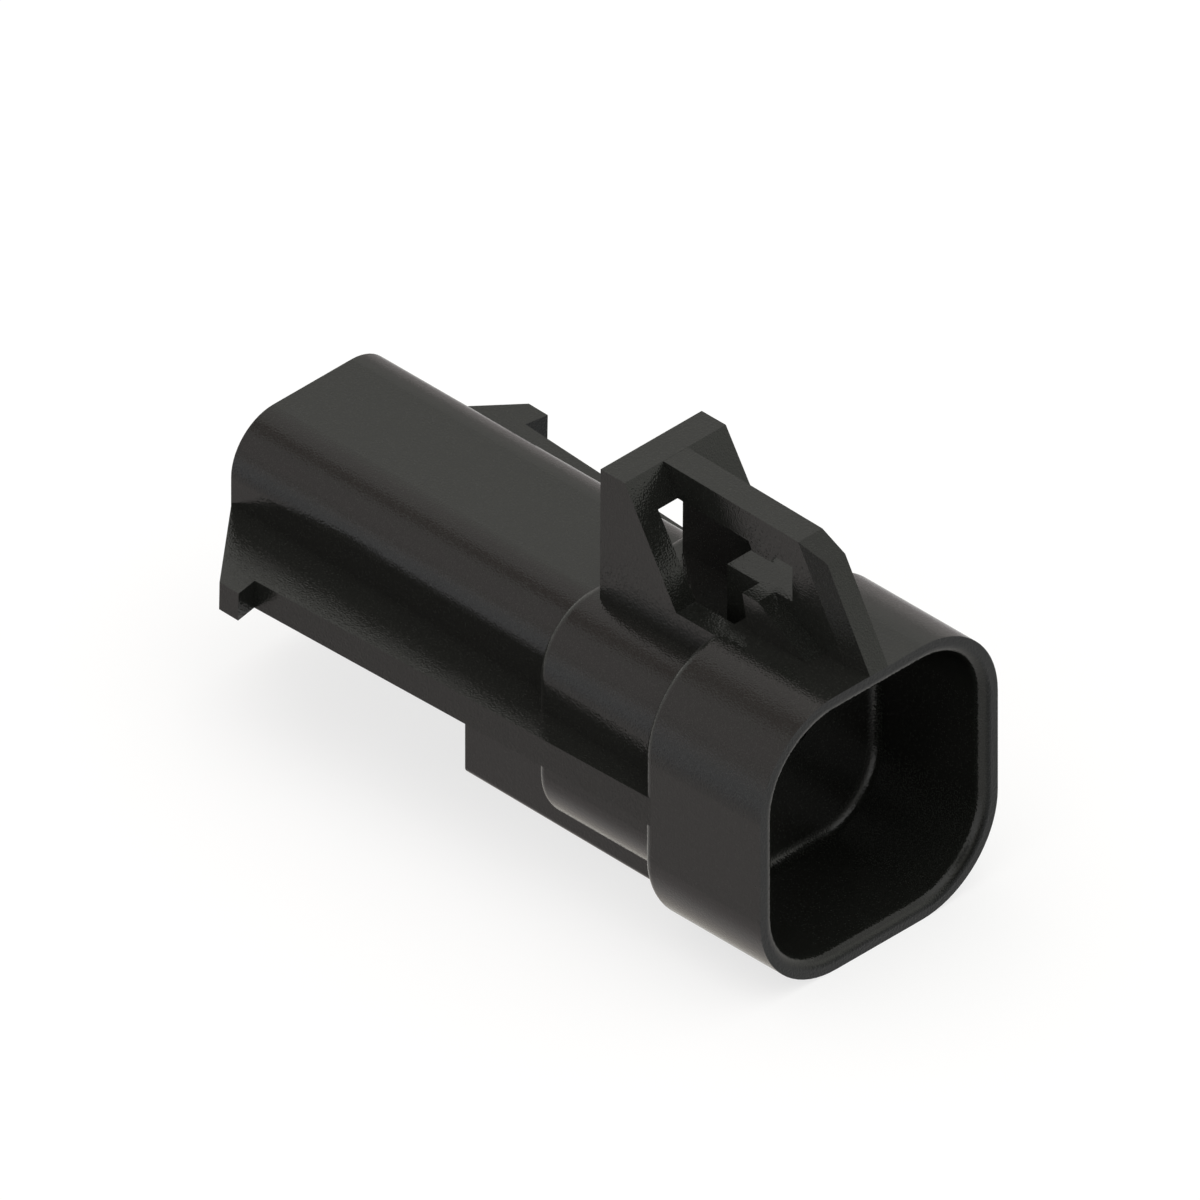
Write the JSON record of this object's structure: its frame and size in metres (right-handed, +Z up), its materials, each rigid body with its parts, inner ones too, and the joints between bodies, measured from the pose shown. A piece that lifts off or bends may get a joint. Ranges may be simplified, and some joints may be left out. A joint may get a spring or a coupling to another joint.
{
  "type": "electrical connector housing",
  "caption": "Moulded plug housing of a sealed wire connector: round-cornered shroud, stepped body, barbed side wings, keel with clip slot, and a guarded latch on top.",
  "frame": {"origin": "on the surface that the housing rests on, under the middle of its length", "axes": "+X from the wire end to the mating end, +Y across, +Z up towards the latch"},
  "size_m": [0.0554, 0.0302, 0.0315],
  "materials": {
    "housing": "near-black moulded thermoplastic with a fine satin grain"
  },
  "bodies": {
    "root": {"housing": "housing"}
  },
  "joints": []
}
